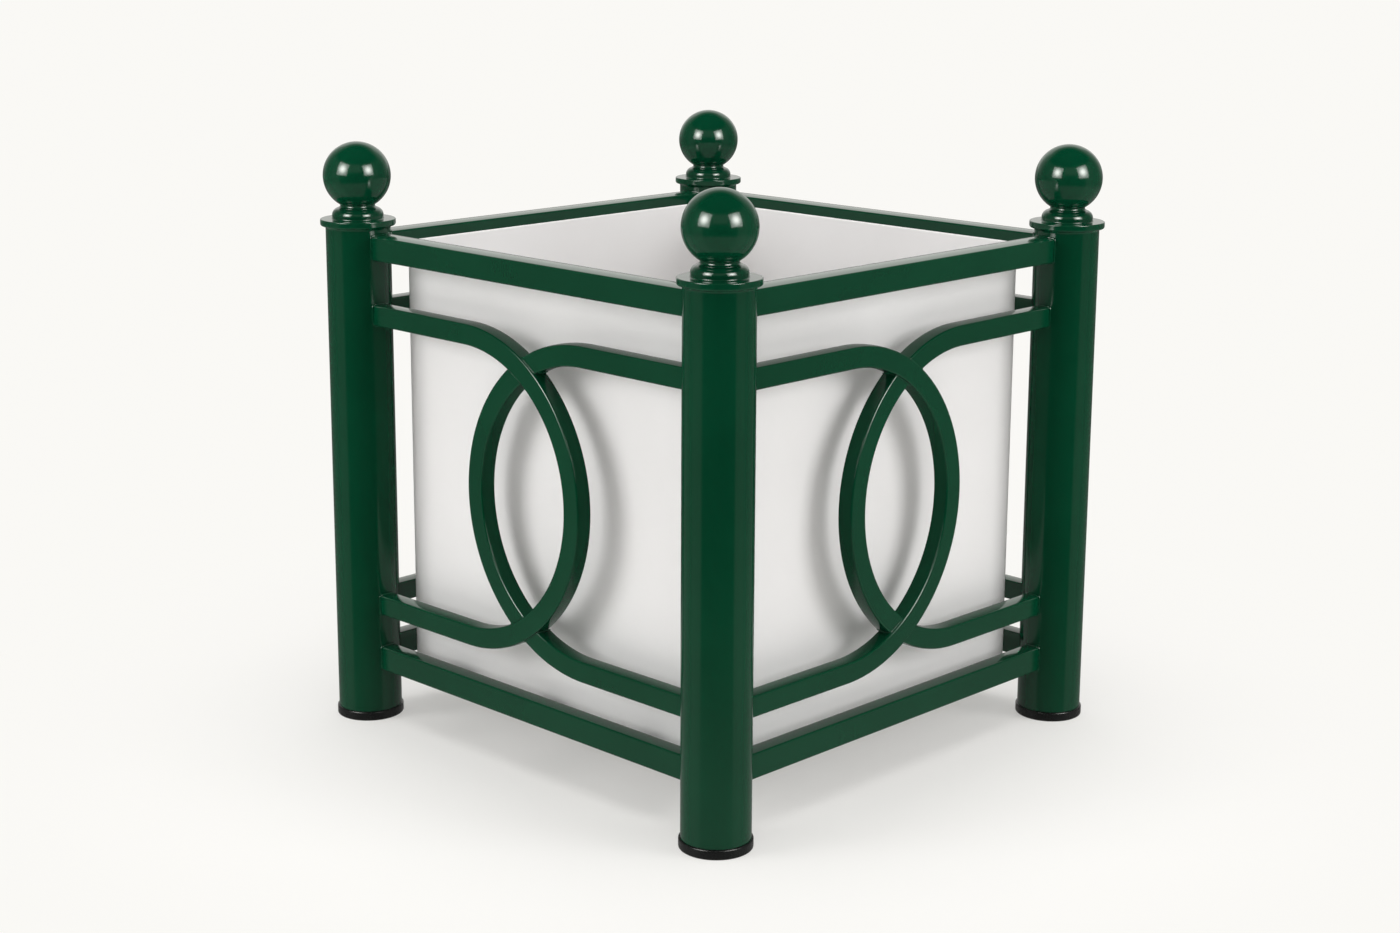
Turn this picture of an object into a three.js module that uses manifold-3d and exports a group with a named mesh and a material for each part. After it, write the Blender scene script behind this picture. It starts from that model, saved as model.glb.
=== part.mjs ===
// A square floor planter: a painted tubular metal frame that holds a lift-out liner box.
//
// Four round posts stand on plastic foot caps and end in turned ball finials. Each side between
// two posts has a straight top rail, a straight bottom rail and a pair of mirrored scroll bars
// that cross to leave a pointed oval in the middle. The liner stands on three bearer bars that
// run between two of the bottom rails.
//
// Millimetres, +Z up. The origin is on the floor, under the middle of the frame. The front side
// faces -Y and the right side faces +X.

import * as THREE from 'three';
import { mergeVertices } from 'three/addons/utils/BufferGeometryUtils.js';
import Module from 'manifold-3d';

const wasm = await Module();
wasm.setup();

// ---------------------------------------------------------------- driving dimensions

const jointGap = 0.3;             // left between two welded or pressed pieces
const throughCut = 5;             // how far a cutting body runs past what it cuts

const postSpacing = 590;          // between the axes of two neighbouring posts
const postDiameter = 76;
const postWall = 2;
const postLength = 590;

const footRimDiameter = 80;
const footRimHeight = 11;
const footRimEdge = 1.5;          // bevel on the rim's lower edge
const footPlugDepth = 20;         // how far the plug reaches up the post
const footPlugWall = 3;
const footFloorThickness = 6;     // of the plug's closed lower end

const flangeDiameter = 88;        // the disc that closes a post's upper end
const flangeThickness = 8;
const flangeEdge = 1.5;
const spigotDepth = 14;           // how far the closing cap reaches down the post
const spigotWall = 4;
const collarDiameter = 60;        // the rounded ring on top of the disc
const collarHeight = 13;
const collarShoulder = 9;         // radius of the ring's rounded upper edge
const collarFloorThickness = 6;   // between the ring's socket and the cap's open underside

const neckDiameter = 42;
const neckLength = 4;             // between the collar and the ball
const neckSpigotDiameter = 24;    // the stem under the neck, which sits in the collar's socket
const neckSpigotLength = 10;
const ballDiameter = 79;

const topRailHeight = 30;
const topRailDepth = 30;
const topRailBelowPostTop = 8;    // from a post's upper end to the rail's upper face
const bottomRailHeight = 30;
const bottomRailDepth = 20;
const bottomRailAboveFloor = 63;  // to its lower face
const tubeWall = 1.5;             // of rails and scroll bars
const tubeCorner = 2;             // bevel along the outer corners of rails and scroll bars
const railProudOfAxis = 10;       // rail faces stand this far outside the line of post axes

const scrollWidth = 25;           // seen from outside
const scrollDepth = 20;
const scrollArcRadius = 177;      // of the bar's centre line
const scrollArcOffset = 95.5;     // from the middle of a side to the arc's centre
const scrollBelowMiddle = 6;      // of its arc's centre, from midway between the two rails
const counterScrollSetback = 2.5; // the cut bar's face stands this far behind the whole one's

const linerClearance = 19;        // from the liner's sides to the top rails' inner faces
const linerBelowRail = 10;        // from the top rails' upper faces to the liner's rim
const linerWall = 3;
const linerCorner = 8;            // radius of the upright corners
const linerBottomEdge = 3;        // bevel round the underside

const bearerCount = 3;
const bearerWidth = 40;
const bearerThickness = 8;
const bearerInset = 76;           // from the liner's side to the nearest bearer

const turnedSides = 32;           // of every round piece
const ballRings = 10;
const arcSteps = 18;              // segments of a scroll bar's half circle
const shoulderSteps = 3;
const linerCornerSteps = 3;

// ---------------------------------------------------------------- places worked out from them

const postRadius = postDiameter / 2;
const postBoreRadius = postRadius - postWall;
const halfSpacing = postSpacing / 2;
const postFoot = footRimHeight;
const postTop = postFoot + postLength;
const flangeTop = postTop + flangeThickness;
const collarTop = flangeTop + collarHeight;
const neckTop = collarTop + neckLength;
const ballRadius = ballDiameter / 2;
const neckRadius = neckDiameter / 2;
const ballCentre = neckTop + Math.sqrt(ballRadius ** 2 - neckRadius ** 2);
const plugRadius = postBoreRadius - jointGap;
const copeRadius = postRadius + jointGap;
const topRailAboveFloor = postTop - topRailBelowPostTop - topRailHeight;
const bottomRailMiddle = bottomRailAboveFloor + bottomRailHeight / 2;
const topRailMiddle = topRailAboveFloor + topRailHeight / 2;
const scrollCentreAboveFloor = (bottomRailMiddle + topRailMiddle) / 2 - scrollBelowMiddle;
const bearerTop = bottomRailAboveFloor + bearerThickness;
const linerSize = 2 * (halfSpacing + railProudOfAxis - topRailDepth - linerClearance);
const linerTop = topRailAboveFloor + topRailHeight - linerBelowRail;
const bearerPitch = (linerSize - bearerWidth - 2 * bearerInset) / (bearerCount - 1);

// ---------------------------------------------------------------- materials

const greenPaint = new THREE.MeshStandardMaterial({ color: 0x17432e, roughness: 0.25, metalness: 0.0 });
const blackPlastic = new THREE.MeshStandardMaterial({ color: 0x1b1e1d, roughness: 0.5, metalness: 0.0 });
const whiteLiner = new THREE.MeshStandardMaterial({ color: 0xe9e7e4, roughness: 0.6, metalness: 0.0 });

// ---------------------------------------------------------------- solids

// A closed geometry as a solid that can be cut.
function toSolid(geometry) {
  const bare = new THREE.BufferGeometry();
  bare.setAttribute('position', geometry.getAttribute('position').clone());
  if (geometry.index) bare.setIndex(geometry.index.clone());
  const merged = mergeVertices(bare, 1e-4);
  return new wasm.Manifold(new wasm.Mesh({
    numProp: 3,
    vertProperties: merged.getAttribute('position').array,
    triVerts: Uint32Array.from(merged.index.array),
  }));
}

function toGeometry(solid) {
  const mesh = solid.getMesh();
  const geometry = new THREE.BufferGeometry();
  geometry.setAttribute('position', new THREE.BufferAttribute(mesh.vertProperties, 3));
  geometry.setIndex(new THREE.BufferAttribute(mesh.triVerts, 1));
  geometry.computeVertexNormals();
  return geometry;
}

// A body turned about Z from [radius, height] points.
function turned(points) {
  const outline = points.map(([r, z]) => new THREE.Vector2(r, z));
  return new THREE.LatheGeometry(outline, turnedSides).rotateX(Math.PI / 2);
}

// The points of a circular arc from one angle to another, ends included.
function arcPoints(centreX, centreY, radius, from, to, steps) {
  return Array.from({ length: steps + 1 }, (_, i) => {
    const angle = from + ((to - from) * i) / steps;
    return [centreX + radius * Math.cos(angle), centreY + radius * Math.sin(angle)];
  });
}

// A solid made of rings of [x, y, z] points, joined in order and closed at both ends.
function ringStackSolid(rings) {
  const count = rings[0].length;
  const triangles = [];
  for (let ring = 0; ring < rings.length - 1; ring += 1) {
    for (let i = 0; i < count; i += 1) {
      const a = ring * count + i;
      const b = ring * count + ((i + 1) % count);
      triangles.push(a, b, b + count, a, b + count, a + count);
    }
  }
  const last = (rings.length - 1) * count;
  for (let i = 1; i < count - 1; i += 1) {
    triangles.push(0, i + 1, i, last, last + i, last + i + 1);
  }
  return new wasm.Manifold(new wasm.Mesh({
    numProp: 3,
    vertProperties: Float32Array.from(rings.flat(2)),
    triVerts: Uint32Array.from(triangles),
  }));
}

// ---------------------------------------------------------------- the posts and what closes them

function postGeometry() {
  const bore = [[postBoreRadius, postFoot], [postBoreRadius, postTop]];
  const outside = [[postRadius, postTop], [postRadius, postFoot]];
  return turned([...bore, ...outside, bore[0]].reverse());
}

// A rim that the post stands on, with a hollow plug pressed up the post.
function footCapGeometry() {
  const rim = footRimDiameter / 2;
  const hollow = plugRadius - footPlugWall;
  const plugTop = footRimHeight + footPlugDepth;
  return turned([
    [0, 0],
    [rim - footRimEdge, 0],
    [rim, footRimEdge],
    [rim, footRimHeight],
    [plugRadius, footRimHeight],
    [plugRadius, plugTop],
    [hollow, plugTop],
    [hollow, footFloorThickness],
    [0, footFloorThickness],
  ]);
}

// The disc on a post's upper end, with a spigot down the post and a socketed ring on top.
function postCapGeometry() {
  const flange = flangeDiameter / 2;
  const spigotBore = plugRadius - spigotWall;
  const collar = collarDiameter / 2;
  const socket = neckSpigotDiameter / 2 + jointGap;
  const socketFloor = collarTop - neckSpigotLength - jointGap;
  const underside = socketFloor - collarFloorThickness;
  const shoulderCentre = [collar - collarShoulder, collarTop - collarShoulder];
  const shoulder = arcPoints(...shoulderCentre, collarShoulder, 0, Math.PI / 2, shoulderSteps);
  return turned([
    [0, underside],
    [spigotBore, underside],
    [spigotBore, postTop - spigotDepth],
    [plugRadius, postTop - spigotDepth],
    [plugRadius, postTop],
    [flange - flangeEdge, postTop],
    [flange, postTop + flangeEdge],
    [flange, flangeTop - flangeEdge],
    [flange - flangeEdge, flangeTop],
    [collar, flangeTop],
    ...shoulder,
    [socket, collarTop],
    [socket, socketFloor],
    [0, socketFloor],
  ]);
}

// The ball with its neck, and the stem that sits in the closing cap.
function finialGeometry() {
  const stem = neckSpigotDiameter / 2;
  const neckAngle = -Math.acos(neckRadius / ballRadius);
  const ball = arcPoints(0, ballCentre, ballRadius, neckAngle, Math.PI / 2, ballRings);
  ball[ball.length - 1] = [0, ballCentre + ballRadius];
  return turned([
    [0, collarTop - neckSpigotLength],
    [stem, collarTop - neckSpigotLength],
    [stem, collarTop],
    [neckRadius, collarTop],
    ...ball,
  ]);
}

// ---------------------------------------------------------------- rails and scroll bars

// Each side is made as the front one: x runs to the right as seen from outside, -y points
// outwards, z is up, and the two post axes stand at x = -halfSpacing and +halfSpacing, y = 0.

// Corner points of a tube's section: width across, depth inwards from the face, bevelled corners.
function sectionPoints(width, depth, bevel) {
  const w = width / 2;
  const d = depth / 2;
  return [
    [w, d - bevel], [w - bevel, d], [-w + bevel, d], [-w, d - bevel],
    [-w, -d + bevel], [-w + bevel, -d], [w - bevel, -d], [w, -d + bevel],
  ];
}

function rectanglePoints(width, depth) {
  const w = width / 2;
  const d = depth / 2;
  return [[w, d], [-w, d], [-w, -d], [w, -d]];
}

// A solid bar of one section along a path of { x, z, angle } stations in the side's plane.
// angle is the path's direction there. The bar's middle stands proud of the post axes' line.
function barSolid(section, stations, proud) {
  return ringStackSolid(stations.map(({ x, z, angle }) => section.map(([across, out]) => (
    [x - across * Math.sin(angle), -proud - out, z + across * Math.cos(angle)]
  ))));
}

// A tube of the given size along the stations. Its outer face stands proud of the axes' line.
function tubeSolid(width, depth, stations, proud) {
  const middle = proud - depth / 2;
  const outer = barSolid(sectionPoints(width, depth, tubeCorner), stations, middle);
  const bore = barSolid(rectanglePoints(width - 2 * tubeWall, depth - 2 * tubeWall), stations, middle);
  return outer.subtract(bore);
}

// The body that shapes a tube's end to a post's round wall.
function postCutter(side) {
  const height = postTop - postFoot;
  const cutter = new THREE.CylinderGeometry(copeRadius, copeRadius, height, turnedSides);
  cutter.rotateX(Math.PI / 2).translate(side * halfSpacing, 0, postFoot + height / 2);
  return toSolid(cutter);
}

const leftPostCutter = postCutter(-1);
const rightPostCutter = postCutter(1);

function railGeometry(height, depth, aboveFloor) {
  const z = aboveFloor + height / 2;
  const stations = [{ x: -halfSpacing, z, angle: 0 }, { x: halfSpacing, z, angle: 0 }];
  const tube = tubeSolid(height, depth, stations, railProudOfAxis);
  return toGeometry(tube.subtract(leftPostCutter).subtract(rightPostCutter));
}

// Stations of a scroll bar that leaves the post at side (-1 left, +1 right), runs level to its
// half circle and comes back. Angles are measured round the arc from its upper end (0) to its
// lower end (pi); a part of the bar starts or ends at a given angle, or at the post if none is.
function scrollStations(side, from = null, to = null) {
  const z = scrollCentreAboveFloor;
  const arcX = side * scrollArcOffset;
  const postX = side * halfSpacing;
  const at = (turn) => ({
    x: arcX - side * scrollArcRadius * Math.sin(turn),
    z: z + scrollArcRadius * Math.cos(turn),
    angle: side > 0 ? Math.PI + turn : -turn,
  });
  const start = from ?? 0;
  const end = to ?? Math.PI;
  const steps = Math.max(1, Math.round((arcSteps * (end - start)) / Math.PI));
  const stations = Array.from({ length: steps + 1 }, (_, i) => at(start + ((end - start) * i) / steps));
  if (from === null) stations.unshift({ ...at(0), x: postX });
  if (to === null) stations.push({ ...at(Math.PI), x: postX });
  return stations;
}

// Where the two half circles of a side cross, measured round the arc.
const crossingTurn = Math.asin(scrollArcOffset / scrollArcRadius);

// The whole scroll bar of a side, welded to its left post at both ends.
function scrollGeometry() {
  const tube = tubeSolid(scrollWidth, scrollDepth, scrollStations(-1), railProudOfAxis);
  return toGeometry(tube.subtract(leftPostCutter));
}

// The room that the whole bar takes out of the bar that is cut to meet it.
const scrollClearance = barSolid(
  rectanglePoints(scrollWidth + 2 * jointGap, scrollDepth + 2 * throughCut),
  scrollStations(-1),
  railProudOfAxis - scrollDepth / 2,
);

// One of the three lengths of the mirrored bar, cut to butt against the whole one.
function counterScrollGeometry(from, to) {
  const stations = scrollStations(1, from, to);
  const tube = tubeSolid(scrollWidth, scrollDepth, stations, railProudOfAxis - counterScrollSetback);
  return toGeometry(tube.subtract(scrollClearance).subtract(rightPostCutter));
}

const counterScrollLengths = {
  upper: [null, crossingTurn],
  middle: [crossingTurn, Math.PI - crossingTurn],
  lower: [Math.PI - crossingTurn, null],
};

// ---------------------------------------------------------------- the liner and its bearers

// The outline of a square with rounded corners, at height z.
function roundedSquare(size, radius, z) {
  const inner = size / 2 - radius;
  const quarter = Math.PI / 2;
  return [[1, 1], [-1, 1], [-1, -1], [1, -1]].flatMap(([x, y], corner) => (
    arcPoints(x * inner, y * inner, radius, corner * quarter, (corner + 1) * quarter, linerCornerSteps)
      .map((point) => [...point, z])
  ));
}

// An open-topped box that stands on the bearers.
function linerGeometry() {
  const floorSize = linerSize - 2 * linerBottomEdge;
  const insideSize = linerSize - 2 * linerWall;
  const insideCorner = linerCorner - linerWall;
  const outside = ringStackSolid([
    roundedSquare(floorSize, linerCorner - linerBottomEdge, bearerTop),
    roundedSquare(linerSize, linerCorner, bearerTop + linerBottomEdge),
    roundedSquare(linerSize, linerCorner, linerTop),
  ]);
  const inside = ringStackSolid([
    roundedSquare(insideSize, insideCorner, bearerTop + linerWall),
    roundedSquare(insideSize, insideCorner, linerTop + throughCut),
  ]);
  return toGeometry(outside.subtract(inside));
}

// A flat bar under the liner, from one bottom rail to the opposite one, level with their undersides.
function bearerGeometry() {
  const railInnerFace = halfSpacing + railProudOfAxis - bottomRailDepth;
  const length = 2 * (railInnerFace - jointGap);
  return new THREE.BoxGeometry(bearerWidth, length, bearerThickness);
}

// ---------------------------------------------------------------- assembly

const planter = new THREE.Group();

function place(group, name, geometry, material) {
  const mesh = new THREE.Mesh(geometry, material);
  mesh.name = name;
  group.add(mesh);
  return mesh;
}

const corners = {
  front_left: [-1, -1],
  front_right: [1, -1],
  back_right: [1, 1],
  back_left: [-1, 1],
};

for (const [corner, [x, y]] of Object.entries(corners)) {
  const group = new THREE.Group();
  group.position.set(x * halfSpacing, y * halfSpacing, 0);
  place(group, `foot_cap_${corner}`, footCapGeometry(), blackPlastic);
  place(group, `post_${corner}`, postGeometry(), greenPaint);
  place(group, `post_cap_${corner}`, postCapGeometry(), greenPaint);
  place(group, `ball_finial_${corner}`, finialGeometry(), greenPaint);
  planter.add(group);
}

// How far each side is turned from the front one.
const sides = { front: 0, right: Math.PI / 2, back: Math.PI, left: -Math.PI / 2 };

for (const [side, turn] of Object.entries(sides)) {
  const group = new THREE.Group();
  group.rotation.z = turn;
  group.position.set(Math.sin(turn) * halfSpacing, -Math.cos(turn) * halfSpacing, 0);
  place(group, `top_rail_${side}`, railGeometry(topRailHeight, topRailDepth, topRailAboveFloor), greenPaint);
  place(group, `bottom_rail_${side}`,
    railGeometry(bottomRailHeight, bottomRailDepth, bottomRailAboveFloor), greenPaint);
  place(group, `scroll_${side}`, scrollGeometry(), greenPaint);
  for (const [length, [from, to]] of Object.entries(counterScrollLengths)) {
    place(group, `counter_scroll_${length}_${side}`, counterScrollGeometry(from, to), greenPaint);
  }
  planter.add(group);
}

for (let i = 0; i < bearerCount; i += 1) {
  const bearer = place(planter, `liner_bearer_${i + 1}`, bearerGeometry(), greenPaint);
  bearer.position.set((i - (bearerCount - 1) / 2) * bearerPitch, 0, bearerTop - bearerThickness / 2);
}

place(planter, 'liner', linerGeometry(), whiteLiner);

export default planter;
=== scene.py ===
import math

import bmesh
import bpy
from mathutils import Matrix, Quaternion, Vector, noise


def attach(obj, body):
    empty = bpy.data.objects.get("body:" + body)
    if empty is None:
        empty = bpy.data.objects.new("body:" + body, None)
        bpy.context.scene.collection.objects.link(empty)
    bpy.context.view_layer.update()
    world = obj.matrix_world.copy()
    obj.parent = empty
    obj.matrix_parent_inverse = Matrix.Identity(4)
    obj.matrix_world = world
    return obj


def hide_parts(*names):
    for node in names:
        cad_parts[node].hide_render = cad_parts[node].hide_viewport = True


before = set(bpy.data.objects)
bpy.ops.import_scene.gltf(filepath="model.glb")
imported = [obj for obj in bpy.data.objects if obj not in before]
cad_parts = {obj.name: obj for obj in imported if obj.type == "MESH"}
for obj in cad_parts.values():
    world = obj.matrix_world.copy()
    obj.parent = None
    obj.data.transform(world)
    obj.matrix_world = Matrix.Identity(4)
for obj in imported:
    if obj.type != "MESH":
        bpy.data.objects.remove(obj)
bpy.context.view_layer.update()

# A square floor planter: a welded tube frame in gloss moss-green paint, corner posts with ball
# finials, scroll bars on all four sides, and a white liner box that lifts out. Metres, +Z up,
# the front side faces -Y. Sizes are in millimetres until a mesh is made.
MM = 0.001


# ---------------------------------------------------------------- posts
# Four lengths of round steel tube, one at each corner, cut square at both ends. They stand on
# plastic caps and carry the rails and scroll bars, which are welded to them. The whole frame is
# powder-coated in one gloss green after welding.
POST_SPACING = 590
POST_RADIUS = 38
POST_WALL = 2
POST_FOOT = 11
POST_TOP = 601
POST_EDGE = 0.4
ROUND_SIDES = 96
ON_AXIS = 1e-6
SAME_POINT = 1e-7
SHARP_ANGLE = 50

HALF_SPACING = POST_SPACING / 2
CORNERS = {
    "front_left": (-1, -1),
    "front_right": (1, -1),
    "back_right": (1, 1),
    "back_left": (-1, 1),
}


class Shade:
    """One output of a material's nodes. Sums and products of values add Math nodes."""

    def __init__(self, tree, socket=None):
        self.tree = tree
        self.socket = socket

    def node(self, kind, inputs=None, output=0, **settings):
        """A new node of this kind: its settings first, then what its sockets are given."""
        made = self.tree.nodes.new("ShaderNode" + kind)
        for name, value in settings.items():
            setattr(made, name, value)
        for name, value in (inputs or {}).items():
            self.give(made.inputs[name], value)
        return Shade(self.tree, made.outputs[output])

    def give(self, socket, value):
        """Links a socket to a Shade, or sets it to a plain value."""
        if isinstance(value, Shade):
            self.tree.links.new(value.socket, socket)
        else:
            socket.default_value = value

    def math(self, operation, first, second):
        """A Math node on two values."""
        return self.node("Math", {0: first, 1: second}, operation=operation)

    def mix(self, low, high):
        """Low colour where this value is 0, high colour where it is 1."""
        inputs = {"Factor": self, 6: low, 7: high}
        return self.node("Mix", inputs, output=2, data_type="RGBA")

    def within(self, low, high):
        """This value's span from low to high, stretched to 0 and 1 with soft ends."""
        inputs = {"Value": self, "From Min": low, "From Max": high}
        return self.node("MapRange", inputs, interpolation_type="SMOOTHSTEP")

    def shown_ray(self):
        """1 for what the camera, a reflection or a clear material shows, 0 for lighting."""
        seen = self.node("LightPath").socket.node.outputs
        kinds = ("Camera", "Glossy", "Transmission")
        camera, glossy, through = (Shade(self.tree, seen[f"Is {kind} Ray"]) for kind in kinds)
        return camera + glossy + through

    def place(self):
        """Where the shaded point is on its own piece, in metres."""
        return self.node("TexCoord", output=3)

    def __add__(self, other):
        return self.math("ADD", self, other)

    def __sub__(self, other):
        return self.math("SUBTRACT", self, other)

    def __rsub__(self, other):
        return self.math("SUBTRACT", other, self)

    def __mul__(self, other):
        return self.math("MULTIPLY", self, other)

    __radd__ = __add__
    __rmul__ = __mul__


def finish(name, **sockets):
    """A new material, and its surface shader with these plain values set."""
    made = bpy.data.materials.new(name)
    made.use_nodes = True
    surface = made.node_tree.nodes["Principled BSDF"]
    for socket, value in sockets.items():
        surface.inputs[socket.replace("_", " ")].default_value = value
    return made, surface, Shade(made.node_tree)


def speckle(shade, scale, detail=2.0):
    """Soft noise from 0 to 1 that stays with the piece, with scale cells to the metre."""
    inputs = {"Vector": shade.place(), "Scale": scale, "Detail": detail}
    return shade.node("TexNoise", inputs)


def raised(shade, surface, height, distance):
    """Raises the surface by a height from 0 to 1 times distance in metres."""
    bump = shade.node("Bump", {"Height": height, "Distance": distance, "Strength": 1.0})
    shade.give(surface.inputs["Normal"], bump)


GREEN_DEEP = (0.0006, 0.0425, 0.0178, 1)
GREEN_LIGHT = (0.001, 0.0475, 0.0202, 1)
GREEN_ROUGHNESS = 0.09
GREEN_ROUGHER = 0.05
PEEL_HEIGHT = 0.000012


def green_paint():
    """Gloss powder coat: deep green, a little orange peel, and a faint cloudiness."""
    made, surface, shade = finish("moss_green_powder_coat", IOR=1.5)
    cloud = speckle(shade, 9, 3.0).within(0.35, 0.65)
    shade.give(surface.inputs["Base Color"], cloud.mix(GREEN_DEEP, GREEN_LIGHT))
    shade.give(surface.inputs["Roughness"], GREEN_ROUGHNESS + speckle(shade, 60) * GREEN_ROUGHER)
    raised(shade, surface, speckle(shade, 420, 1.0), PEEL_HEIGHT)
    return made


GREEN = green_paint()


def new_piece(name, points, faces, material):
    """A smooth-shaded mesh piece from points in millimetres, with even shading on flats."""
    mesh = bpy.data.meshes.new(name)
    mesh.from_pydata([Vector(p) * MM for p in points], [], faces)
    tidy = bmesh.new()
    tidy.from_mesh(mesh)
    bmesh.ops.remove_doubles(tidy, verts=tidy.verts, dist=SAME_POINT)
    bmesh.ops.recalc_face_normals(tidy, faces=tidy.faces)
    tidy.to_mesh(mesh)
    tidy.free()
    mesh.shade_smooth()
    mesh.set_sharp_from_angle(angle=math.radians(SHARP_ANGLE))
    mesh.materials.append(material)
    piece = bpy.data.objects.new(name, mesh)
    bpy.context.scene.collection.objects.link(piece)
    even = piece.modifiers.new("even_shading", "WEIGHTED_NORMAL")
    even.keep_sharp = True
    return piece


def stand_for(piece, body, slot, *nodes):
    """The piece rides on its body and replaces CAD nodes. The slot is not used."""
    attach(piece, body)
    if nodes:
        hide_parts(*nodes)


def arc(centre, radius, start, end, steps):
    """Points of a circular arc in a profile, between two angles in degrees, ends included."""
    angles = [math.radians(start + (end - start) * i / steps) for i in range(steps + 1)]
    return [(centre[0] + radius * math.cos(a), centre[1] + radius * math.sin(a)) for a in angles]


def turned(name, profile, place, material):
    """A piece turned about the upright axis at place, from a profile of (radius, height)."""
    points, faces, rings = [], [], []
    for radius, height in profile:
        if radius < ON_AXIS:
            rings.append([len(points)] * ROUND_SIDES)
            points.append((place[0], place[1], height))
            continue
        rings.append(list(range(len(points), len(points) + ROUND_SIDES)))
        for side in range(ROUND_SIDES):
            angle = 2 * math.pi * side / ROUND_SIDES
            x, y = radius * math.cos(angle), radius * math.sin(angle)
            points.append((place[0] + x, place[1] + y, height))
    closed = profile[0][0] > ON_AXIS or profile[-1][0] > ON_AXIS
    for lower, upper in zip(rings, rings[1:] + rings[:1] if closed else rings[1:]):
        for side in range(ROUND_SIDES):
            after = (side + 1) % ROUND_SIDES
            corners = (lower[side], lower[after], upper[after], upper[side])
            face = list(dict.fromkeys(corners))
            if len(face) > 2:
                faces.append(face)
    return new_piece(name, points, faces, material)


def corner_place(corner):
    """Where the axis of a corner's post stands."""
    x, y = CORNERS[corner]
    return x * HALF_SPACING, y * HALF_SPACING


def eased_box(inner, outer, bottom, top, edge):
    """The profile of a ring with rounded outer edges, from its inside round to its inside."""
    return [
        (inner, bottom),
        *arc((outer - edge, bottom + edge), edge, -90, 0, 4),
        *arc((outer - edge, top - edge), edge, 0, 90, 4),
        (inner, top),
    ]


for corner in CORNERS:
    tube = eased_box(POST_RADIUS - POST_WALL, POST_RADIUS, POST_FOOT, POST_TOP, POST_EDGE)
    post = turned(f"green_post_{corner}", tube, corner_place(corner), GREEN)
    stand_for(post, "frame", "green_paint", f"post_{corner}")


# ---------------------------------------------------------------- foot caps
# Black moulded plastic caps: a rim that the tube's cut end stands on, and a plug pushed up the
# tube. The rim is a little wider than the tube, with its edges rounded by the mould.
FOOT_RADIUS = 40
FOOT_PLUG_RADIUS = 35.7
FOOT_PLUG_TOP = 31
FOOT_EDGE = 1.6
BLACK_DEEP = (0.004, 0.0048, 0.0045, 1)
BLACK_LIGHT = (0.007, 0.0082, 0.0078, 1)
BLACK_ROUGHNESS = 0.22
BLACK_ROUGHER = 0.12
GRAIN_HEIGHT = 0.00003


def black_plastic():
    """Satin black plastic with a fine moulded grain."""
    made, surface, shade = finish("black_moulded_plastic", IOR=1.46)
    shade.give(surface.inputs["Base Color"], speckle(shade, 40).mix(BLACK_DEEP, BLACK_LIGHT))
    shade.give(surface.inputs["Roughness"], BLACK_ROUGHNESS + speckle(shade, 150) * BLACK_ROUGHER)
    raised(shade, surface, speckle(shade, 900, 3.0), GRAIN_HEIGHT)
    return made


BLACK = black_plastic()
for corner in CORNERS:
    rim = eased_box(0, FOOT_RADIUS, 0, POST_FOOT, FOOT_EDGE)[:-1]
    plug = [(FOOT_PLUG_RADIUS, POST_FOOT), (FOOT_PLUG_RADIUS, FOOT_PLUG_TOP), (0, FOOT_PLUG_TOP)]
    cap = turned(f"black_foot_{corner}", rim + plug, corner_place(corner), BLACK)
    stand_for(cap, "frame", "black_plastic", f"foot_cap_{corner}")


# ---------------------------------------------------------------- closing caps
# Turned steel caps welded on the posts' upper ends: a disc a little wider than the post, with
# a thick rounded collar on top. A ring of weld, ground smooth, fills the corner under the disc.
FLANGE_RADIUS = 44
FLANGE_TOP = 609
FLANGE_LOWER_EDGE = 2.4
FLANGE_UPPER_EDGE = 1.2
CAP_UNDERSIDE = 596
CAP_SPIGOT_RADIUS = 35.7
COLLAR_RADIUS = 30
COLLAR_TOP = 622
COLLAR_SHOULDER = 9
COLLAR_FOOT = 1.5
UNDER_DISC_WELD = 3
WELD_INTO_POST = 1
WELD_INTO_DISC = 0.5

lower_edge = (FLANGE_RADIUS - FLANGE_LOWER_EDGE, POST_TOP + FLANGE_LOWER_EDGE)
upper_edge = (FLANGE_RADIUS - FLANGE_UPPER_EDGE, FLANGE_TOP - FLANGE_UPPER_EDGE)
collar_foot = (COLLAR_RADIUS + COLLAR_FOOT, FLANGE_TOP + COLLAR_FOOT)
shoulder = (COLLAR_RADIUS - COLLAR_SHOULDER, COLLAR_TOP - COLLAR_SHOULDER)
cap_shape = [
    (0, CAP_UNDERSIDE),
    (CAP_SPIGOT_RADIUS, CAP_UNDERSIDE),
    (CAP_SPIGOT_RADIUS, POST_TOP),
    *arc(lower_edge, FLANGE_LOWER_EDGE, -90, 0, 6),
    *arc(upper_edge, FLANGE_UPPER_EDGE, 0, 90, 5),
    *arc(collar_foot, COLLAR_FOOT, 270, 180, 4),
    *arc(shoulder, COLLAR_SHOULDER, 0, 90, 14),
    (0, COLLAR_TOP),
]
cove_centre = (POST_RADIUS + UNDER_DISC_WELD, POST_TOP - UNDER_DISC_WELD)
weld_shape = [
    (POST_RADIUS - WELD_INTO_POST, POST_TOP - UNDER_DISC_WELD),
    *arc(cove_centre, UNDER_DISC_WELD, 180, 90, 6),
    (POST_RADIUS - WELD_INTO_POST, POST_TOP + WELD_INTO_DISC),
]

for corner in CORNERS:
    cap = turned(f"green_cap_{corner}", cap_shape, corner_place(corner), GREEN)
    stand_for(cap, "frame", "green_paint", f"post_cap_{corner}")
    weld = turned(f"cap_weld_{corner}", weld_shape, corner_place(corner), GREEN)
    stand_for(weld, "frame", "green_paint")


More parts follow.
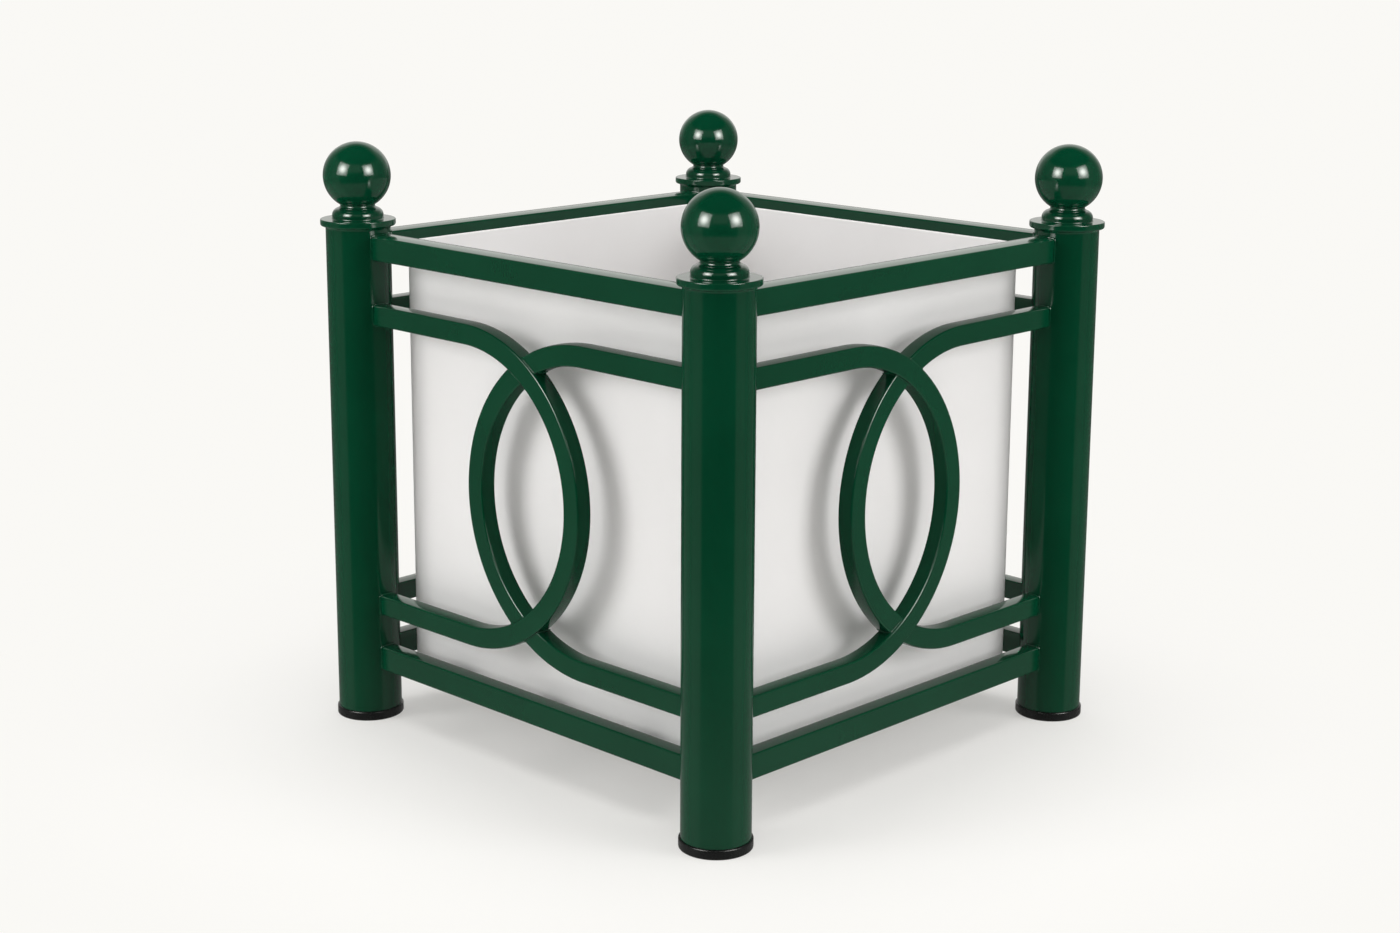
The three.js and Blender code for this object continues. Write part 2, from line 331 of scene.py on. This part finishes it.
# ---------------------------------------------------------------- ball finials
# Steel balls turned with a short neck that flares a little where it meets the collar. The neck's
# stem is fixed in the collar's socket.
BALL_RADIUS = 39.5
BALL_CENTRE = 659.455
NECK_RADIUS = 21
NECK_FOOT_RADIUS = 22
NECK_COVE = 3
NECK_COVE_OUT = 1.2
NECK_INTO_COLLAR = 1
NECK_BLEND = 0.4
BALL_RINGS = 48

neck_cove = (NECK_FOOT_RADIUS + NECK_COVE_OUT, COLLAR_TOP + NECK_COVE)
ball_start = -math.degrees(math.acos((NECK_RADIUS + NECK_BLEND) / BALL_RADIUS))
ball_shape = [
    (0, COLLAR_TOP - NECK_INTO_COLLAR),
    (NECK_FOOT_RADIUS + NECK_INTO_COLLAR, COLLAR_TOP - NECK_INTO_COLLAR),
    *arc(neck_cove, NECK_COVE, 262, 140, 8),
    *arc((0, BALL_CENTRE), BALL_RADIUS, ball_start, 90, BALL_RINGS),
]
ball_shape[-1] = (0, BALL_CENTRE + BALL_RADIUS)

for corner in CORNERS:
    ball = turned(f"green_ball_{corner}", ball_shape, corner_place(corner), GREEN)
    stand_for(ball, "frame", "green_paint", f"ball_finial_{corner}")


# ---------------------------------------------------------------- rails
# Straight lengths of rectangular steel tube between the posts, two on each side. Their ends
# are shaped to the round posts. Faces stand 10 mm outside the line between the post axes.
TUBE_CORNER = 2.0
TUBE_CORNER_STEPS = 4
CROWN_SLOPE = 0.12
CROWN_STEPS = 6
TOP_RAIL = {"height": 30, "depth": 30, "middle": 578}
BOTTOM_RAIL = {"height": 30, "depth": 20, "middle": 78}
FACE_PROUD = 10
INTO_POST = 0.5
SIDES = {"front": 0, "right": 90, "back": 180, "left": 270}


def tube_section(width, depth):
    """(across, out) points round a rectangular tube with rounded corners. The two faces seen
    from above and below are a little crowned, as the tube mill leaves them."""
    flat = depth / 2 - TUBE_CORNER
    crown = flat * CROWN_SLOPE / 2
    w, d = width / 2 - TUBE_CORNER - crown, flat
    section = []
    for quarter, (x, y) in enumerate([(w, d), (-w, d), (-w, -d), (w, -d)]):
        section += arc((x, y), TUBE_CORNER, quarter * 90, quarter * 90 + 90, TUBE_CORNER_STEPS)
        if quarter % 2:
            side = -1 if quarter == 1 else 1
            for step in range(1, CROWN_STEPS):
                share = 2 * step / CROWN_STEPS - 1
                rise = crown * (1 - share**2)
                section.append((side * (w + TUBE_CORNER + rise), side * share * flat))
    return section


def on_side(side, point):
    """A point of a side drawn as the front one, turned round to where that side is."""
    outwards = Vector((0, -HALF_SPACING, 0))
    turn = Matrix.Rotation(math.radians(SIDES[side]), 3, "Z")
    return turn @ (Vector(point) + outwards)


def post_meeting(x, y, reach):
    """Moves a point along X to the wall of the nearer post, which it enters by INTO_POST."""
    radius = POST_RADIUS - INTO_POST + reach
    return math.copysign(HALF_SPACING - math.sqrt(radius**2 - y**2), x)


def bar(name, side, rings, material):
    """A closed bar whose section passes through rings of points, drawn on the front side."""
    count = len(rings[0])
    points = [on_side(side, p) for ring in rings for p in ring]
    faces = []
    for start in range(0, len(points) - count, count):
        for i in range(count):
            after = (i + 1) % count
            faces.append((start + i, start + after, start + count + after, start + count + i))
    for ring in (rings[0], rings[-1]):
        middle = sum((Vector(p) for p in ring), Vector()) / count
        first = 0 if ring is rings[0] else len(points) - count - 1
        points.append(on_side(side, middle))
        faces += [(first + i, first + (i + 1) % count, len(points) - 1) for i in range(count)]
    return new_piece(name, points, faces, material)


def rail_end(rail, sign):
    """The end of a rail at one post: points (x, y, z) round its section on the post's wall."""
    ring = []
    for across, out in tube_section(rail["height"], rail["depth"]):
        y = -(FACE_PROUD - rail["depth"] / 2 + out)
        ring.append((post_meeting(sign, y, 0), y, rail["middle"] + across))
    return ring


for side in SIDES:
    for level, rail in (("top", TOP_RAIL), ("bottom", BOTTOM_RAIL)):
        ends = [rail_end(rail, -1), rail_end(rail, 1)]
        piece = bar(f"green_{level}_rail_{side}", side, ends, GREEN)
        stand_for(piece, "frame", "green_paint", f"{level}_rail_{side}")


# ---------------------------------------------------------------- scroll bars
# Bent rectangular tube, 25 mm wide seen from outside and 20 mm deep. On each side one bar runs
# whole from the left post round a half circle and back. Its mirror image is cut in three where
# the two cross, butt-welded to the whole bar, and set back 2.5 mm behind its face.
SCROLL_WIDTH = 25
SCROLL_DEPTH = 20
SCROLL_RADIUS = 177
SCROLL_OFFSET = 95.5
SCROLL_MIDDLE = 322
SET_BACK = 2.5
ARC_STEPS = 72
INTO_BAR = 0.4
CUT_TURNS = {"upper": (0, 24), "middle": (41, 139), "lower": (156, 180)}

SCROLL_SECTION = tube_section(SCROLL_WIDTH, SCROLL_DEPTH)
WHOLE_PROUD = FACE_PROUD - SCROLL_DEPTH / 2
CUT_PROUD = WHOLE_PROUD - SET_BACK


def scroll_ring(hand, turn, proud):
    """Points round a scroll bar at an angle round its arc: 0 at its top, 180 at its bottom."""
    angle = math.radians(turn)
    ring = []
    for across, out in SCROLL_SECTION:
        radius = SCROLL_RADIUS + across
        x = hand * (SCROLL_OFFSET - radius * math.sin(angle))
        ring.append((x, -(proud + out), SCROLL_MIDDLE + radius * math.cos(angle)))
    return ring


def scroll_arc(hand, start, end, proud):
    """Rings along a scroll bar's arc between two angles, ends included."""
    steps = max(2, round(ARC_STEPS * (end - start) / 180))
    return [scroll_ring(hand, start + (end - start) * i / steps, proud) for i in range(steps + 1)]


def scroll_at_post(hand, turn, proud, reach=0.0):
    """The bar's end at its post, at the level of its top run (turn 0) or bottom run (180)."""
    return [(post_meeting(hand, y, reach), y, z) for _, y, z in scroll_ring(hand, turn, proud)]


def scroll_at_bar(level, inner, reach=0.0):
    """A cut end against the whole bar's edge: outer edge, or inner for the middle length.
    Each point lies where its own circle crosses that edge's circle."""
    off_middle = SCROLL_WIDTH / 2 - INTO_BAR + reach
    edge = SCROLL_RADIUS - off_middle if inner else SCROLL_RADIUS + off_middle
    ring = []
    for across, out in SCROLL_SECTION:
        own = SCROLL_RADIUS + across
        x = (edge**2 - own**2) / (4 * SCROLL_OFFSET)
        rise = math.sqrt(edge**2 - (x + SCROLL_OFFSET) ** 2)
        ring.append((x, -(CUT_PROUD + out), SCROLL_MIDDLE + level * rise))
    return ring


CUT_LENGTHS = {
    "upper": [
        scroll_at_post(1, 0, CUT_PROUD),
        *scroll_arc(1, *CUT_TURNS["upper"], CUT_PROUD),
        scroll_at_bar(1, False),
    ],
    "middle": [
        scroll_at_bar(1, True),
        *scroll_arc(1, *CUT_TURNS["middle"], CUT_PROUD),
        scroll_at_bar(-1, True),
    ],
    "lower": [
        scroll_at_bar(-1, False),
        *scroll_arc(1, *CUT_TURNS["lower"], CUT_PROUD),
        scroll_at_post(1, 180, CUT_PROUD),
    ],
}
WHOLE_BAR = [
    scroll_at_post(-1, 0, WHOLE_PROUD),
    *scroll_arc(-1, 0, 180, WHOLE_PROUD),
    scroll_at_post(-1, 180, WHOLE_PROUD),
]

for side in SIDES:
    whole = bar(f"green_scroll_{side}", side, WHOLE_BAR, GREEN)
    stand_for(whole, "frame", "green_paint", f"scroll_{side}")
    for length, rings in CUT_LENGTHS.items():
        cut = bar(f"green_cut_scroll_{length}_{side}", side, rings, GREEN)
        stand_for(cut, "frame", "green_paint", f"counter_scroll_{length}_{side}")


# ---------------------------------------------------------------- welds
# Narrow fillet welds laid by hand round every end of a rail or scroll bar and painted over with
# the frame. Those at the posts are wider and gently rippled; those between bars are dressed fine.
POST_BEAD = 1.5
BAR_BEAD = 1.0
BEAD_SIDES = 10
BEAD_STEP = 1.6
BEAD_RIPPLE = 0.12
RIPPLES_PER_MM = 0.45
RIPPLE_SHIFT = 7
OFF_POST = 0.9
OFF_BAR = 0.4


def evenly(loop, step):
    """A closed loop of points taken again at even steps along its length."""
    loop = [Vector(p) for p in loop]
    lengths = [(b - a).length for a, b in zip(loop, loop[1:] + loop[:1])]
    count = max(12, round(sum(lengths) / step))
    spaced, edge, walked = [], 0, 0.0
    for i in range(count):
        target = i * sum(lengths) / count
        while walked + lengths[edge] < target:
            walked += lengths[edge]
            edge += 1
        share = (target - walked) / lengths[edge]
        spaced.append(loop[edge].lerp(loop[(edge + 1) % len(loop)], share))
    return spaced


def bead(name, side, loops, radius):
    """Rippled beads of weld along closed loops of points, as one piece."""
    points, faces = [], []
    for loop in loops:
        path = evenly(loop, BEAD_STEP)
        first = len(points)
        count = len(path)
        middle = sum(path, Vector()) / count
        shift = Vector((0, 0, RIPPLE_SHIFT * SIDES[side]))
        for i, centre in enumerate(path):
            along = (path[(i + 1) % count] - path[i - 1]).normalized()
            outward = (centre - middle).normalized()
            across = along.cross(outward).normalized()
            outward = across.cross(along)
            ripple = noise.noise(centre * RIPPLES_PER_MM + shift) * 2
            size = radius * (1 + BEAD_RIPPLE * ripple)
            for k in range(BEAD_SIDES):
                angle = 2 * math.pi * k / BEAD_SIDES
                offset = outward * math.cos(angle) + across * math.sin(angle)
                points.append(on_side(side, centre + offset * size))
        for i in range(count):
            for k in range(BEAD_SIDES):
                a, b = first + i * BEAD_SIDES, first + (i + 1) % count * BEAD_SIDES
                after = (k + 1) % BEAD_SIDES
                faces.append((a + k, a + after, b + after, b + k))
    return new_piece(name, points, faces, GREEN)


for side in SIDES:
    at_posts = [
        [(post_meeting(x, y, OFF_POST), y, z) for x, y, z in ring]
        for ring in (
            rail_end(TOP_RAIL, -1),
            rail_end(TOP_RAIL, 1),
            rail_end(BOTTOM_RAIL, -1),
            rail_end(BOTTOM_RAIL, 1),
            WHOLE_BAR[0],
            WHOLE_BAR[-1],
            CUT_LENGTHS["upper"][0],
            CUT_LENGTHS["lower"][-1],
        )
    ]
    posts_weld = bead(f"post_welds_{side}", side, at_posts, POST_BEAD)
    stand_for(posts_weld, "frame", "green_paint")
    at_bars = [
        scroll_at_bar(1, False, OFF_BAR),
        scroll_at_bar(1, True, OFF_BAR),
        scroll_at_bar(-1, True, OFF_BAR),
        scroll_at_bar(-1, False, OFF_BAR),
    ]
    bars_weld = bead(f"bar_welds_{side}", side, at_bars, BAR_BEAD)
    stand_for(bars_weld, "frame", "green_paint")


# ---------------------------------------------------------------- liner bearers
# Three flat steel bars that run between the front and back bottom rails, flush with the rails'
# underside, and are painted with the frame. The liner stands on them. Their CAD solids show, with
# the sharp edges eased.
BEARER_EDGE = 0.7
BEARER_EDGE_STEPS = 3

for number in (1, 2, 3):
    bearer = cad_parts[f"liner_bearer_{number}"]
    bearer.data.materials.clear()
    bearer.data.materials.append(GREEN)
    eased = bearer.modifiers.new("eased_edges", "BEVEL")
    eased.width = BEARER_EDGE * MM
    eased.segments = BEARER_EDGE_STEPS


# ---------------------------------------------------------------- liner
# A white moulded box, open at the top, with 3 mm walls, rounded upright corners, a rounded
# bottom edge and a plain rounded rim. It stands loose on the bearers and lifts straight out.
LINER_HALF = 256
LINER_BOTTOM = 71
LINER_TOP = 583
LINER_WALL = 3
LINER_CORNER = 8
LINER_BOTTOM_EDGE = 4.5
LINER_FLOOR_EDGE = 1.5
CORNER_STEPS = 10
CORNER_LEAST = 0.5
CORNER_SHRINK = 0.6
WHITE_DEEP = (0.85, 0.837, 0.83, 1)
WHITE_LIGHT = (0.868, 0.857, 0.852, 1)
WHITE_ROUGHNESS = 0.42
WHITE_ROUGHER = 0.1
WAVE_HEIGHT = 0.000015


def white_plastic():
    """Satin white plastic, faintly cloudy, with the soft waviness of a moulded sheet."""
    made, surface, shade = finish("white_liner_plastic", IOR=1.46)
    cloud = speckle(shade, 5, 3.0).within(0.3, 0.7)
    shade.give(surface.inputs["Base Color"], cloud.mix(WHITE_DEEP, WHITE_LIGHT))
    shade.give(surface.inputs["Roughness"], WHITE_ROUGHNESS + speckle(shade, 30) * WHITE_ROUGHER)
    raised(shade, surface, speckle(shade, 700, 2.0), WAVE_HEIGHT)
    return made


WHITE = white_plastic()


def rounded_square(half, radius, height):
    """Points round a level square with rounded corners."""
    radius = max(radius, CORNER_LEAST)
    inner = half - radius
    outline = []
    for quarter, (x, y) in enumerate([(1, 1), (-1, 1), (-1, -1), (1, -1)]):
        start = quarter * 90
        outline += arc((x * inner, y * inner), radius, start, start + 90, CORNER_STEPS)
    return [(x, y, height) for x, y in outline]


def liner_profile():
    """(inset from the outer face, height) from the underside, over the rim, to the floor."""
    edge, inner, wall = LINER_BOTTOM_EDGE, LINER_FLOOR_EDGE, LINER_WALL
    rim, off_floor = wall / 2, LINER_WALL + LINER_FLOOR_EDGE
    outside = [(edge - x, LINER_BOTTOM + edge + z) for x, z in arc((0, 0), edge, -90, 0, 8)]
    over = [(rim - x, LINER_TOP - rim + z) for x, z in arc((0, 0), rim, 0, 180, 6)]
    floor_arc = arc((0, 0), inner, 0, -90, 8)
    inside = [(off_floor - x, LINER_BOTTOM + off_floor + z) for x, z in floor_arc]
    return outside + over + inside


outlines = [
    rounded_square(LINER_HALF - inset, LINER_CORNER - inset * CORNER_SHRINK, height)
    for inset, height in liner_profile()
]
count = len(outlines[0])
points = [p for outline in outlines for p in outline]
faces = [
    (row + i, row + (i + 1) % count, row + count + (i + 1) % count, row + count + i)
    for row in range(0, len(points) - count, count)
    for i in range(count)
]
faces += [list(range(count)), list(range(len(points) - count, len(points)))]
liner = new_piece("white_liner", points, faces, WHITE)
# The paint's gloss shows the dim box of the light section where the liner stands.
liner.visible_glossy = False
stand_for(liner, "liner", "white_liner", "liner")


# ---------------------------------------------------------------- floor
# A plain pale floor that takes the planter's shadow. Away from the planter it passes into the
# pale background, in what the camera sees but not in what lights the planter. The paint's gloss
# doesn't show it.
FLOOR_HALF = 30
FLOOR_COLOUR = (0.86, 0.85, 0.835, 1)
BACKGROUND = (0.955, 0.945, 0.915, 1)
NEAR_CLEAR = 0.35
CLEAR_FROM = 0.25
CLEAR_TO = 0.95

floor_mesh = bpy.data.meshes.new("floor")
floor_mesh.from_pydata(
    [(x * FLOOR_HALF, y * FLOOR_HALF, 0) for x, y in ((-1, -1), (1, -1), (1, 1), (-1, 1))],
    [],
    [(0, 1, 2, 3)],
)
floor = bpy.data.objects.new("floor", floor_mesh)
bpy.context.scene.collection.objects.link(floor)
pale, floor_surface, shade = finish("pale_floor", Roughness=0.9)
floor_surface.inputs["Base Color"].default_value = FLOOR_COLOUR
floor_surface.inputs["Specular IOR Level"].default_value = 0
reach = shade.node("VectorMath", {0: shade.place()}, output=1, operation="LENGTH")
away = NEAR_CLEAR + reach.within(CLEAR_FROM, CLEAR_TO) * (1 - NEAR_CLEAR)
plain = shade.node("Emission", {"Color": BACKGROUND, "Strength": 1.0})
lit = Shade(pale.node_tree, floor_surface.outputs[0])
surface = shade.node("MixShader", {0: away * shade.shown_ray(), 1: lit, 2: plain})
shade.give(pale.node_tree.nodes["Material Output"].inputs["Surface"], surface)
floor_mesh.materials.append(pale)
floor.visible_glossy = False


# ---------------------------------------------------------------- light
# A pale studio. Even light comes from all round, from overhead, and from two side lamps that
# throw the bars' shadows on the liner. The gloss shows two softboxes, a dim room and the pale
# backdrop behind.
VIEW_TURN = 44.0
AMBIENT = 0.46
AMBIENT_COLOUR = (1, 0.99, 0.975, 1)
LAMP_AIM = (0, 0, 0.33)
SIDE_LAMP = {"rise": 18, "distance": 4.2, "size": 1.7, "power": 70}
SIDE_LAMP_TURN = 70
OVERHEAD_LAMP = {"rise": 90, "distance": 5.5, "size": 5.0, "power": 195}

world = bpy.data.worlds.new("studio")
bpy.context.scene.world = world
world.use_nodes = True
tree = world.node_tree
tree.nodes.clear()
shade = Shade(tree)
around = shade.node("Background", {"Color": AMBIENT_COLOUR, "Strength": AMBIENT})
backdrop = shade.node("Background", {"Color": BACKGROUND, "Strength": 1.0})
either = shade.node("MixShader", {0: shade.shown_ray(), 1: around, 2: backdrop})
output = tree.nodes.new("ShaderNodeOutputWorld")
shade.give(output.inputs["Surface"], either)


def direction(turn, rise):
    """A unit vector towards azimuth turn (0 is the front, 90 the right) and elevation rise."""
    a, e = math.radians(turn), math.radians(rise)
    return Vector((math.sin(a) * math.cos(e), -math.cos(a) * math.cos(e), math.sin(e)))


def facing(made, turn, rise, distance, aim):
    """Stands a lamp or card off in a direction and turns it to face the planter."""
    away = direction(turn, rise)
    made.location = Vector(aim) + away * distance
    made.rotation_mode = "QUATERNION"
    made.rotation_quaternion = away.to_track_quat("Z", "Y")


def soft_lamp(name, turn, rise, distance, size, power):
    """A soft square lamp that lights the planter and doesn't show in its gloss."""
    lamp = bpy.data.lights.new(name, "AREA")
    lamp.shape = "SQUARE"
    lamp.size = size
    lamp.energy = power
    made = bpy.data.objects.new(name, lamp)
    bpy.context.scene.collection.objects.link(made)
    facing(made, turn, rise, distance, LAMP_AIM)
    made.visible_glossy = False


def shown_in_gloss(name, points, faces):
    """A glowing surface that only reflections show, with its material's nodes to be filled."""
    mesh = bpy.data.meshes.new(name)
    mesh.from_pydata(points, [], faces)
    made = bpy.data.objects.new(name, mesh)
    bpy.context.scene.collection.objects.link(made)
    for kind in ("camera", "diffuse", "transmission", "volume_scatter", "shadow"):
        setattr(made, f"visible_{kind}", False)
    glow = bpy.data.materials.new(name)
    glow.use_nodes = True
    glow.node_tree.nodes.remove(glow.node_tree.nodes["Principled BSDF"])
    mesh.materials.append(glow)
    return made, Shade(glow.node_tree)


def glowing(shade, strength):
    """Gives a glowing surface its strength."""
    plain = shade.node("Emission", {"Color": BACKGROUND, "Strength": strength})
    output = shade.tree.nodes["Material Output"]
    shade.give(output.inputs["Surface"], plain)


for name, sign in (("left", -1), ("right", 1)):
    soft_lamp(f"side_lamp_{name}", VIEW_TURN + sign * SIDE_LAMP_TURN, **SIDE_LAMP)
soft_lamp("overhead_lamp", VIEW_TURN, **OVERHEAD_LAMP)

# Each softbox is brightest in its middle.
SOFTBOX_TURN = 47.5
SOFTBOX_RISE = 22.5
SOFTBOX_DISTANCE = 5.0
SOFTBOX_HALF = 1.6
SOFTBOX_EDGE = 5.0
SOFTBOX_CORE = 20.0
SOFTBOX_AIM = (0, 0, 0.62)
SQUARE = ((-1, -1, 0), (1, -1, 0), (1, 1, 0), (-1, 1, 0))

for name, sign in (("left", -1), ("right", 1)):
    points = [Vector(p) * SOFTBOX_HALF for p in SQUARE]
    softbox, shade = shown_in_gloss(f"softbox_{name}", points, [(0, 1, 2, 3)])
    turn = VIEW_TURN + sign * SOFTBOX_TURN
    facing(softbox, turn, SOFTBOX_RISE, SOFTBOX_DISTANCE, SOFTBOX_AIM)
    off_middle = shade.node("VectorMath", {0: shade.place()}, output=1, operation="LENGTH")
    core = 1 - off_middle.within(0, SOFTBOX_HALF)
    glowing(shade, SOFTBOX_EDGE + core * SOFTBOX_CORE)

# The dim room is a wide dome. It is darkest overhead and straight ahead, grey to the sides and
# below, a little lighter between the softboxes, and open at the back, where the backdrop is. Its
# parts are given in degrees: off_front is how far round from the front, rise is how far up.
ROOM_RADIUS = 20
ROOM_STEP = 5
SIDE_GREY = 0.13
LOW_GREY = 0.28
AHEAD_DARKER = 0.95
BESIDE_LIGHTER = 0.06
BETWEEN_LIGHTER = 0.28
BEHIND_LIGHTER = 0.45
OPEN_FROM = 150
OPEN_LOW = 5
OPEN_HIGH = 40


def room():
    """Points and faces of the dome, without those of its opening at the back."""
    points, faces = [], []
    turns = range(0, 360, ROOM_STEP)
    rises = range(-90, 91, ROOM_STEP)
    for rise in rises:
        points += [direction(turn, rise) * ROOM_RADIUS for turn in turns]
    for row, rise in enumerate(rises[:-1]):
        for column, turn in enumerate(turns):
            off_front = abs((turn + ROOM_STEP / 2 + 180) % 360 - 180)
            if off_front > OPEN_FROM and OPEN_LOW <= rise < OPEN_HIGH:
                continue
            after = (column + 1) % len(turns)
            lower, upper = row * len(turns), (row + 1) * len(turns)
            faces.append((lower + column, lower + after, upper + after, upper + column))
    return points, faces


dome, shade = shown_in_gloss("dim_room", *room())
dome.rotation_euler = (0, 0, math.radians(VIEW_TURN))
unit = shade.node("VectorMath", {0: shade.place()}, operation="NORMALIZE")
across, depth, height = (shade.node("SeparateXYZ", {0: unit}, output=axis) for axis in range(3))
turn = shade.math("ARCTAN2", across, depth * -1)
off_front = shade.math("ABSOLUTE", turn, 0) * math.degrees(1)
rise = shade.math("ARCSINE", height, 0) * math.degrees(1)
aside = off_front.within(49, 55)
overhead = rise.within(34, 48)
ahead = (1 - aside) * rise.within(-23, -15)
beside = aside * (1 - off_front.within(80, 90)) * (1 - overhead)
between = (1 - off_front.within(20, 27)) * rise.within(12, 22) * (1 - rise.within(40, 48))
behind = off_front.within(110, 150) * rise.within(-10, 12) * (1 - rise.within(38, 62))
sides = LOW_GREY - rise.within(-24, -10) * (LOW_GREY - SIDE_GREY)
grey = sides * (1 - ahead * AHEAD_DARKER) * (1 - overhead)
lighter = beside * BESIDE_LIGHTER + between * BETWEEN_LIGHTER + behind * BEHIND_LIGHTER
glowing(shade, grey + lighter)

# In the gloss a dim box stands where the white liner is, which keeps the bars' inner sides deep
# green. It is paler low down and at its rim, where the bars' upper faces mirror it, and passes
# from one grey to the other over two bands, given in metres above the floor.
DIM_BOX_INSET = 2
DIM_BOX_GREY = 0.1
DIM_BOX_ENDS = 0.36
DIM_BOX_LOW_BAND = (0.17, 0.21)
DIM_BOX_HIGH_BAND = (0.48, 0.52)

half = LINER_HALF - DIM_BOX_INSET
levels = (LINER_BOTTOM + DIM_BOX_INSET, LINER_TOP - DIM_BOX_INSET)
points = [Vector((x * half, y * half, z)) * MM for z in levels for x, y, _ in SQUARE]
faces = [(i, (i + 1) % 4, (i + 1) % 4 + 4, i + 4) for i in range(4)]
faces += [(3, 2, 1, 0), (4, 5, 6, 7)]
_, shade = shown_in_gloss("dim_box", points, faces)
height = shade.node("SeparateXYZ", {0: shade.place()}, output=2)
middle = height.within(*DIM_BOX_LOW_BAND) * (1 - height.within(*DIM_BOX_HIGH_BAND))
glowing(shade, DIM_BOX_ENDS - middle * (DIM_BOX_ENDS - DIM_BOX_GREY))


# ---------------------------------------------------------------- camera
# The photograph's view: at a corner, a little above the rim, with a standard lens.
IMAGE_WIDTH = 1400
SENSOR_WIDTH = 36
FOCAL_PIXELS = 2332.2
CENTRE_UP = 60
CAMERA_TURN = 44.0356
CAMERA_RISE = 17.3688
CAMERA_DISTANCE = 2.85684
CAMERA_AIM_HEIGHT = 0.133967
LOOK_TURN = 44.3359
LOOK_RISE = 12.4787
ROLL = 0.3001

camera_data = bpy.data.cameras.new("camera")
camera_data.sensor_width = SENSOR_WIDTH
camera_data.lens = SENSOR_WIDTH * FOCAL_PIXELS / IMAGE_WIDTH
camera_data.shift_y = -CENTRE_UP / IMAGE_WIDTH
camera = bpy.data.objects.new("camera", camera_data)
bpy.context.scene.collection.objects.link(camera)
away = direction(CAMERA_TURN, CAMERA_RISE) * CAMERA_DISTANCE
camera.location = away + Vector((0, 0, CAMERA_AIM_HEIGHT))
camera.rotation_mode = "QUATERNION"
looking = direction(LOOK_TURN, LOOK_RISE).to_track_quat("Z", "Y")
camera.rotation_quaternion = looking @ Quaternion((0, 0, 1), math.radians(ROLL))
bpy.context.scene.camera = camera
bpy.context.scene.view_settings.view_transform = "Standard"
